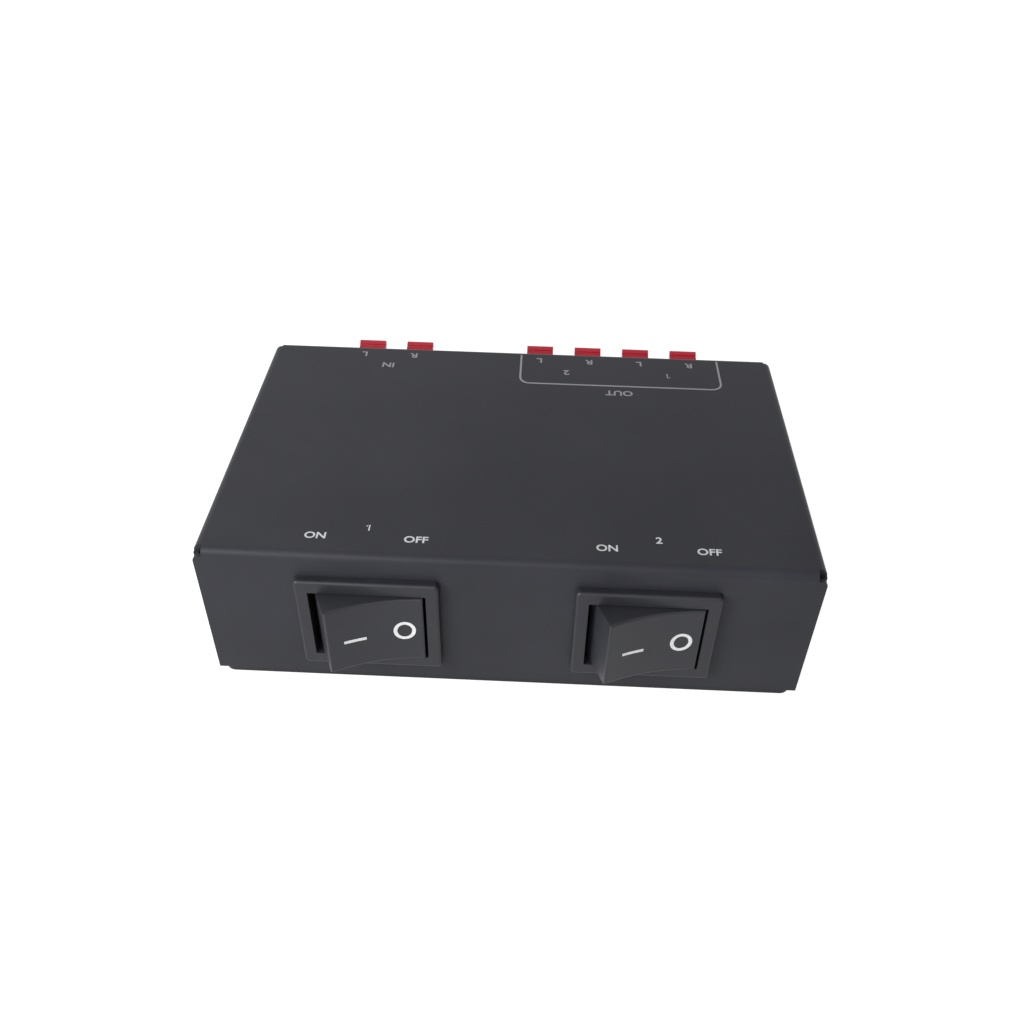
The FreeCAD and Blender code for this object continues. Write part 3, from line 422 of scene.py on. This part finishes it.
# %% Place the screws
def loose_boxes(node):
    """The lowest and highest corner of each separate solid in a node's mesh."""
    shape = bmesh.new()
    shape.from_mesh(frame["nodes"][node].data)
    bmesh.ops.remove_doubles(shape, verts=shape.verts, dist=1e-6)
    waiting = set(shape.verts)
    boxes = []
    while waiting:
        island, front = set(), [waiting.pop()]
        while front:
            vertex = front.pop()
            island.add(vertex)
            for edge in vertex.link_edges:
                other = edge.other_vert(vertex)
                if other in waiting:
                    waiting.remove(other)
                    front.append(other)
        spots = [vertex.co for vertex in island]
        boxes.append((Vector([min(spot[i] for spot in spots) for i in range(3)]),
                      Vector([max(spot[i] for spot in spots) for i in range(3)])))
    shape.free()
    return boxes


def place_screws(node, index, side, turn):
    """Screws along axis `index`, 0 to 2; `side` is +1 or -1, the end of the axis with the head."""
    boxes = loose_boxes(node)
    spots = []
    for low, high in boxes:
        spot = (low + high) / 2
        spot[index] = (high[index] if side > 0 else low[index]) - side * HEAD_HEIGHT
        spots.append(spot)
    length = max(high[index] - low[index] for low, high in boxes) - HEAD_HEIGHT
    mesh = bpy.data.meshes.new(node + "_spots")
    mesh.from_pydata(spots, [], [])
    piece = bpy.data.objects.new(node + "_turned", mesh)
    scene.collection.objects.link(piece)
    maker = piece.modifiers.new("screws", "NODES")
    maker.node_group = SCREW_TREE
    given = [item for item in SCREW_TREE.interface.items_tree if item.in_out == "INPUT"]
    sockets = {item.name: item.identifier for item in given}
    maker[sockets["Turn"]] = turn
    maker[sockets["Shank Length"]] = length
    maker[sockets["Finish"]] = FINISHES[SLOT_OF[node]]
    bpy.context.view_layer.update()
    state = bpy.context.evaluated_depsgraph_get()
    done = bpy.data.meshes.new_from_object(piece.evaluated_get(state))
    piece.modifiers.clear()
    piece.data = done
    done.set_sharp_from_angle(angle=math.radians(30))
    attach(piece, BODY_OF[node])
    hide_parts(node)
    print(node, len(spots), "screws,", len(done.polygons), "faces")


place_screws("block_screws", 1, +1, (-math.pi / 2, 0, 0))
place_screws("bottom_screws", 2, -1, (math.pi, 0, 0))

# %% [markdown]
# ## Printing on the top
# The words on the top are screen printed: a film of ink a few hundredths of a millimetre
# thick. A text curve gives the letters, a very small extrusion gives the film its thickness,
# and the result is made a mesh before it is moved, so that the piece's own object stays at
# the origin.

# %% Print letters
INK_FILM = 0.02 * MM
INK_SPREAD = 0.03
CAPITAL_SHARE = 0.70
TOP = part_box("top_cover")[1].z
BACK_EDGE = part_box("top_cover")[1].y
FRONT_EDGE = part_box("top_cover")[0].y


def as_mesh_piece(name, curve, place, finish):
    """Turns a curve into a mesh, moves the mesh and links it as an object of its own."""
    helper = bpy.data.objects.new(name + "_curve", curve)
    scene.collection.objects.link(helper)
    bpy.context.view_layer.update()
    state = bpy.context.evaluated_depsgraph_get()
    mesh = bpy.data.meshes.new_from_object(helper.evaluated_get(state))
    bpy.data.objects.remove(helper)
    mesh.transform(place)
    mesh.materials.clear()
    mesh.materials.append(finish)
    piece = bpy.data.objects.new(name, mesh)
    scene.collection.objects.link(piece)
    return piece


def print_word(name, words, spot, height, wide=1.1, turn=0.0, finish=INK):
    """Words centred on a spot of the top, given in millimetres; `height` is a capital's."""
    curve = bpy.data.curves.new(name, "FONT")
    curve.body = words
    curve.align_x = "CENTER"
    curve.align_y = "CENTER"
    curve.size = height * MM / CAPITAL_SHARE
    curve.extrude = INK_FILM
    curve.offset = height * MM * INK_SPREAD
    curve.resolution_u = 4
    place = (Matrix.Translation((spot[0] * MM, spot[1] * MM, TOP)) @ Matrix.Rotation(turn, 4, "Z")
             @ Matrix.Diagonal((wide, 1, 1, 1)))
    piece = as_mesh_piece(name, curve, place, finish)
    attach(piece, BODY_OF["top_cover"])


SWITCH_LABELS = {"on_1": ("ON", -41.3, -35.5), "off_1": ("OFF", -19.8, -35.7),
                 "on_2": ("ON", 20.7, -35.9), "two": ("2", 31.8, -32.9), "off_2": ("OFF", 42.2, -35.9)}
for name, (words, x, y) in SWITCH_LABELS.items():
    print_word("print_" + name, words, (x, y), 1.9)
REAR_LABELS = {"in_left": ("L", -41.8, 37.2), "in_right": ("R", -28.6, 37.2), "in": ("IN", -34.9, 32.2),
               "out_left_2": ("L", 4.9, 37.0), "out_right_2": ("R", 18.1, 37.0),
               "out_left_1": ("L", 31.3, 37.0), "out_right_1": ("R", 44.5, 37.0),
               "pair_2": ("2", 12.0, 31.6), "out": ("OUT", 25.5, 22.8)}
for name, (words, x, y) in REAR_LABELS.items():
    print_word("print_" + name, words, (x, y), 2.1, turn=math.pi, finish=REAR_INK)
print("printed", len(SWITCH_LABELS) + len(REAR_LABELS), "words")

# %% [markdown]
# ## The bracket line
# A thin printed line runs round the output labels: down from the back edge, round a small
# corner, along, and back up. The line is a ribbon, swept along a path of straight runs and
# quarter circles, with its left and right edges half a line's width from the path.

# %% Bracket line
def rounded_path(corners, radius, steps=8):
    """Points along straight runs, with an arc at each inner corner."""
    path = [corners[0]]
    for before, corner, after in zip(corners, corners[1:], corners[2:]):
        start = corner + (before - corner).normalized() * radius
        end = corner + (after - corner).normalized() * radius
        centre = start + end - corner
        for step in range(steps + 1):
            angle = math.pi / 2 * step / steps
            path.append(centre + (start - centre) * math.cos(angle) + (end - centre) * math.sin(angle))
    return path + [corners[-1]]


def ribbon(name, path, width, low, high, finish):
    """A flat closed strip along a path in the plane, between two heights."""
    rings = []
    for index, spot in enumerate(path):
        before, after = path[max(index - 1, 0)], path[min(index + 1, len(path) - 1)]
        run = (after - before).normalized()
        side = Vector((-run.y, run.x)) * width / 2
        rings.append([(*(spot + side * a), z) for a, z in ((-1, low), (1, low), (1, high), (-1, high))])
    vertices = [corner for ring in rings for corner in ring]
    faces = [[i * 4 + a, i * 4 + (a + 1) % 4, i * 4 + 4 + (a + 1) % 4, i * 4 + 4 + a]
             for i in range(len(rings) - 1) for a in range(4)]
    last = (len(rings) - 1) * 4
    faces += [[3, 2, 1, 0], [last, last + 1, last + 2, last + 3]]
    mesh = bpy.data.meshes.new(name)
    mesh.from_pydata(vertices, [], faces)
    shape = bmesh.new()
    shape.from_mesh(mesh)
    bmesh.ops.recalc_face_normals(shape, faces=shape.faces)
    shape.to_mesh(mesh)
    shape.free()
    mesh.materials.append(finish)
    piece = bpy.data.objects.new(name, mesh)
    scene.collection.objects.link(piece)
    return piece


LINE_WIDTH, LINE_CORNER = 0.5, 2.6
LINE_LEFT, LINE_RIGHT, LINE_FRONT = 0.0, 52.0, 25.9
fold_start = BACK_EDGE - 2.2 * MM
corners = [Vector((x * MM, y)) for x, y in ((LINE_LEFT, fold_start), (LINE_LEFT, LINE_FRONT * MM),
                                            (LINE_RIGHT, LINE_FRONT * MM), (LINE_RIGHT, fold_start))]
bracket = ribbon("print_bracket", rounded_path(corners, LINE_CORNER * MM), LINE_WIDTH * MM,
                 TOP - INK_FILM, TOP + INK_FILM, REAR_INK)
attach(bracket, BODY_OF["top_cover"])
print("bracket", len(bracket.data.polygons), "faces")

# %% [markdown]
# ## The figure one
# In the built-in font a one is a plain bar, which could be read as a letter. The two ones
# are ribbons instead: a short flag, then the stem. One stands by the first switch, and one
# is turned round, to be read from behind.

# %% Figure one
STROKE_SHARE = 0.17


def print_one(name, spot, height, turn, finish):
    middle = Vector(spot) * MM
    strokes = [Vector(corner) * height * MM for corner in ((-0.3, 0.22), (0.05, 0.5), (0.05, -0.5))]
    path = [middle + Matrix.Rotation(turn, 2) @ stroke for stroke in strokes]
    piece = ribbon(name, path, height * MM * STROKE_SHARE, TOP - INK_FILM, TOP + INK_FILM, finish)
    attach(piece, BODY_OF["top_cover"])
    return piece


ones = [print_one("print_one", (-30.3, -32.4), 1.9, 0.0, INK),
        print_one("print_pair_one", (38.5, 31.4), 2.1, math.pi, REAR_INK)]
print("figure ones", len(ones))

# %% [markdown]
# ## The marks on the rockers
# Each rocker carries a dash where it is pressed for on, and a ring where it is pressed for
# off. They are printed on a face that is dished like the inside of a pipe, so a flat mark
# would float at its middle or sink at its ends. Each mark is drawn in the flat first, then
# every vertex is dropped onto the dish by the same circle that shaped it, and the whole mark
# is turned with the rocker to its resting tilt.

# %% Rocker marks
PIVOT_DEPTH, FACE_REACH, FACE_RISE, DISH = 2.2 * MM, 10.5 * MM, 7.6 * MM, 1.2 * MM
DISH_RADIUS = (FACE_REACH ** 2 + DISH ** 2) / (2 * DISH)
REST_TILT = math.radians(15)
MARK_FILM = 0.03 * MM


def on_dish(u, z, lift):
    """A point `lift` in front of the rocker's face, in the rocker's own untilted frame."""
    hollow = DISH_RADIUS - math.sqrt(DISH_RADIUS ** 2 - u ** 2)
    return Vector((u, -(FACE_RISE - DISH + hollow + lift), z))


def mark(name, rows, closed, switch):
    """Skins a grid of (u, z) rows onto the dish, with a front, a back and edges."""
    low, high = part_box(f"switch_housing_{switch}")
    middle = (low + high) / 2
    pivot = Matrix.Translation((middle.x, FRONT_EDGE + PIVOT_DEPTH, middle.z))
    place = pivot @ Matrix.Rotation(REST_TILT, 4, "Z")
    shape = bmesh.new()
    layers = [[[shape.verts.new(place @ on_dish(u, z, lift)) for u, z in row] for row in rows]
              for lift in (MARK_FILM, -MARK_FILM)]
    count, across = len(rows), len(rows[0])
    last = count if closed else count - 1
    for layer in layers:
        for i in range(last):
            row, following = layer[i], layer[(i + 1) % count]
            for j in range(across - 1):
                shape.faces.new((row[j], following[j], following[j + 1], row[j + 1]))
    for i in range(last):
        for j in (0, across - 1):
            shape.faces.new((layers[0][i][j], layers[0][(i + 1) % count][j],
                             layers[1][(i + 1) % count][j], layers[1][i][j]))
    if not closed:
        for i in (0, count - 1):
            front, back = layers[0][i], layers[1][i]
            for j in range(across - 1):
                shape.faces.new((front[j], front[j + 1], back[j + 1], back[j]))
    bmesh.ops.recalc_face_normals(shape, faces=shape.faces)
    mesh = bpy.data.meshes.new(name)
    shape.to_mesh(mesh)
    shape.free()
    mesh.materials.append(MARK_INK)
    piece = bpy.data.objects.new(name, mesh)
    scene.collection.objects.link(piece)
    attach(piece, BODY_OF[f"rocker_{switch}"])
    return piece


RING_AT, RING_WIDE, RING_TALL, STROKE = 6.3 * MM, 2.4 * MM, 2.7 * MM, 0.8 * MM
DASH_FROM, DASH_TO, DASH_AT = -6.9 * MM, -2.0 * MM, -1.0 * MM
RING_STEPS, DASH_STEPS = 48, 8
turns = [2 * math.pi * step / RING_STEPS for step in range(RING_STEPS)]
ring_rows = [[(RING_AT + (RING_WIDE - STROKE * k) * math.cos(turn),
               (RING_TALL - STROKE * k) * math.sin(turn)) for k in (0, 0.5, 1)] for turn in turns]
dash_spots = [DASH_FROM + (DASH_TO - DASH_FROM) * step / DASH_STEPS for step in range(DASH_STEPS + 1)]
dash_rows = [[(u, DASH_AT + STROKE * k) for k in (-0.5, 0, 0.5)] for u in dash_spots]
marks = []
for switch in ("1", "2"):
    marks.append(mark(f"ring_{switch}", ring_rows, True, switch))
    marks.append(mark(f"dash_{switch}", dash_rows, False, switch))
print("rocker marks", len(marks))

# %% [markdown]
# ## The studio
# The box stands on a plain pale floor, far larger than the view. The background is to read
# as white while the box keeps its soft shadow, so the floor shows part white light and part
# its own shaded surface to the camera and to mirrors, and is an ordinary pale surface for
# all other light.

# %% Floor
WHITE_SHARE, WHITE_STRENGTH = 0.7, 1.3


def make_floor(half_side=3.0):
    mesh = bpy.data.meshes.new("studio_floor")
    signs = ((-1, -1), (1, -1), (1, 1), (-1, 1))
    mesh.from_pydata([(x * half_side, y * half_side, 0) for x, y in signs], [], [(0, 1, 2, 3)])
    made, tree, shader = new_material("studio_floor")[:3]
    shader.inputs["Base Color"].default_value = (0.86, 0.86, 0.86, 1)
    shader.inputs["Roughness"].default_value = 0.9
    shader.inputs["Specular IOR Level"].default_value = 0.1
    part = add_node(tree, "ShaderNodeMath", {0: seen_rays(tree), 1: WHITE_SHARE},
                    operation="MULTIPLY").outputs[0]
    white = add_node(tree, "ShaderNodeEmission", {"Color": (1, 1, 1, 1), "Strength": WHITE_STRENGTH})
    mixed = add_node(tree, "ShaderNodeMixShader", {"Fac": part, 1: shader.outputs["BSDF"],
                                                   2: white.outputs["Emission"]})
    output = [node for node in tree.nodes if node.type == "OUTPUT_MATERIAL"][0]
    tree.links.new(mixed.outputs["Shader"], output.inputs["Surface"])
    mesh.materials.append(made)
    floor = bpy.data.objects.new("studio_floor", mesh)
    scene.collection.objects.link(floor)
    return floor


print("floor", make_floor().name)

# %% [markdown]
# ## Light
# Three soft lamps stand for a light tent: the key on the left, a weaker one in front that
# fills the front panel, and one high behind, which separates the top from the background.
# The world fills the shadows. Seen directly or in a gloss, the world is plain white.

# %% World and lamps
MIDDLE = Vector((0, 0, 0.02))


def make_world(fill=0.36):
    world = bpy.data.worlds.new("studio")
    world.use_nodes = True
    tree = world.node_tree
    tree.nodes.clear()
    strength = add_node(tree, "ShaderNodeMapRange", {"Value": seen_rays(tree), "To Min": fill,
                                                     "To Max": 1.0}).outputs[0]
    light = add_node(tree, "ShaderNodeBackground", {"Color": (1, 1, 1, 1), "Strength": strength})
    output = tree.nodes.new("ShaderNodeOutputWorld")
    tree.links.new(light.outputs[0], output.inputs["Surface"])
    scene.world = world


def make_lamp(name, place, side, power):
    """A square soft lamp, aimed at the middle of the box; `power` is in watts."""
    data = bpy.data.lights.new(name, "AREA")
    data.size = side
    data.energy = power
    lamp = bpy.data.objects.new(name, data)
    aim = (MIDDLE - Vector(place)).to_track_quat("-Z", "Y")
    lamp.matrix_world = Matrix.Translation(place) @ aim.to_matrix().to_4x4()
    scene.collection.objects.link(lamp)
    return lamp


make_world()
lamps = [make_lamp("key_left", (-0.34, -0.26, 0.24), 0.25, 2.85),
         make_lamp("fill_front", (-0.15, -0.60, 0.38), 0.3, 1.6),
         make_lamp("back_high", (-0.25, 0.45, 0.7), 0.5, 0.6)]
print("lamps", [lamp.name for lamp in lamps])

scene.view_settings.view_transform = "Standard"
